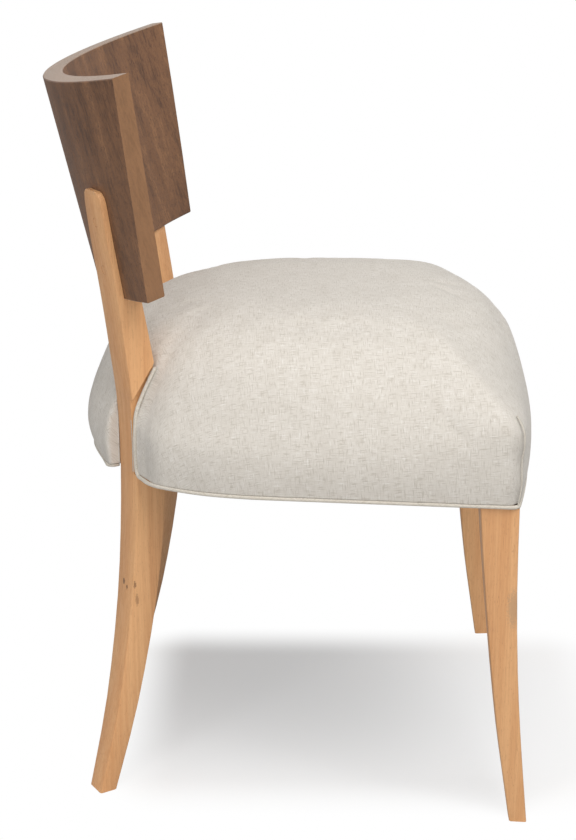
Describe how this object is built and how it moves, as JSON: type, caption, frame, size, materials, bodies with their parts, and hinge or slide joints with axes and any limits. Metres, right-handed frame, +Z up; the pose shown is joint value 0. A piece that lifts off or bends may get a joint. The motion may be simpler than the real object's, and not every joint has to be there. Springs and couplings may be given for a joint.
{
  "type": "klismos dining chair",
  "caption": "Dining chair with a broad curved flared wooden back held in two raking rear posts, splayed tapered legs and an upholstered domed seat.",
  "frame": {"origin": "floor level, at the centre of the chair's bounding box in plan", "axes": "+Z up, -Y towards the front of the seat, +X towards the left side of a person sitting on the chair"},
  "size_m": [0.4766, 0.5003, 0.7509],
  "materials": {
    "walnut": "matte oiled",
    "beech": "satin lacquer",
    "linen": "woven",
    "backing_cloth": "woven",
    "webbing": "woven",
    "foam": "open cell",
    "screw_steel": "zinc plated"
  },
  "bodies": {
    "root": {"back_panel": "walnut", "rear_leg_left": "beech", "rear_leg_right": "beech", "front_leg_left": "beech", "front_leg_right": "beech", "front_rail": "beech", "rear_rail": "beech", "side_rail_left": "beech", "side_rail_right": "beech", "front_block_left": "beech", "front_block_right": "beech", "rear_block_left": "beech", "rear_block_right": "beech", "block_screw_front_upper_left": "screw_steel", "block_screw_front_upper_right": "screw_steel", "block_screw_front_lower_left": "screw_steel", "block_screw_front_lower_right": "screw_steel", "block_screw_rear_upper_left": "screw_steel", "block_screw_rear_upper_right": "screw_steel", "block_screw_rear_lower_left": "screw_steel", "block_screw_rear_lower_right": "screw_steel", "webbing_lengthwise_1": "webbing", "webbing_lengthwise_2": "webbing", "webbing_lengthwise_3": "webbing", "webbing_crosswise_1": "webbing", "webbing_crosswise_2": "webbing", "webbing_crosswise_3": "webbing", "webbing_crosswise_4": "webbing", "platform_cloth": "backing_cloth", "seat_foam": "foam", "seat_cover": "linen", "front_welt": "linen", "rear_welt": "linen", "dust_cover": "backing_cloth", "panel_screw_lower_left": "screw_steel", "panel_screw_lower_right": "screw_steel", "panel_screw_upper_left": "screw_steel", "panel_screw_upper_right": "screw_steel", "screw_plug_lower_left": "beech", "screw_plug_lower_right": "beech", "screw_plug_upper_left": "beech", "screw_plug_upper_right": "beech"}
  },
  "joints": []
}
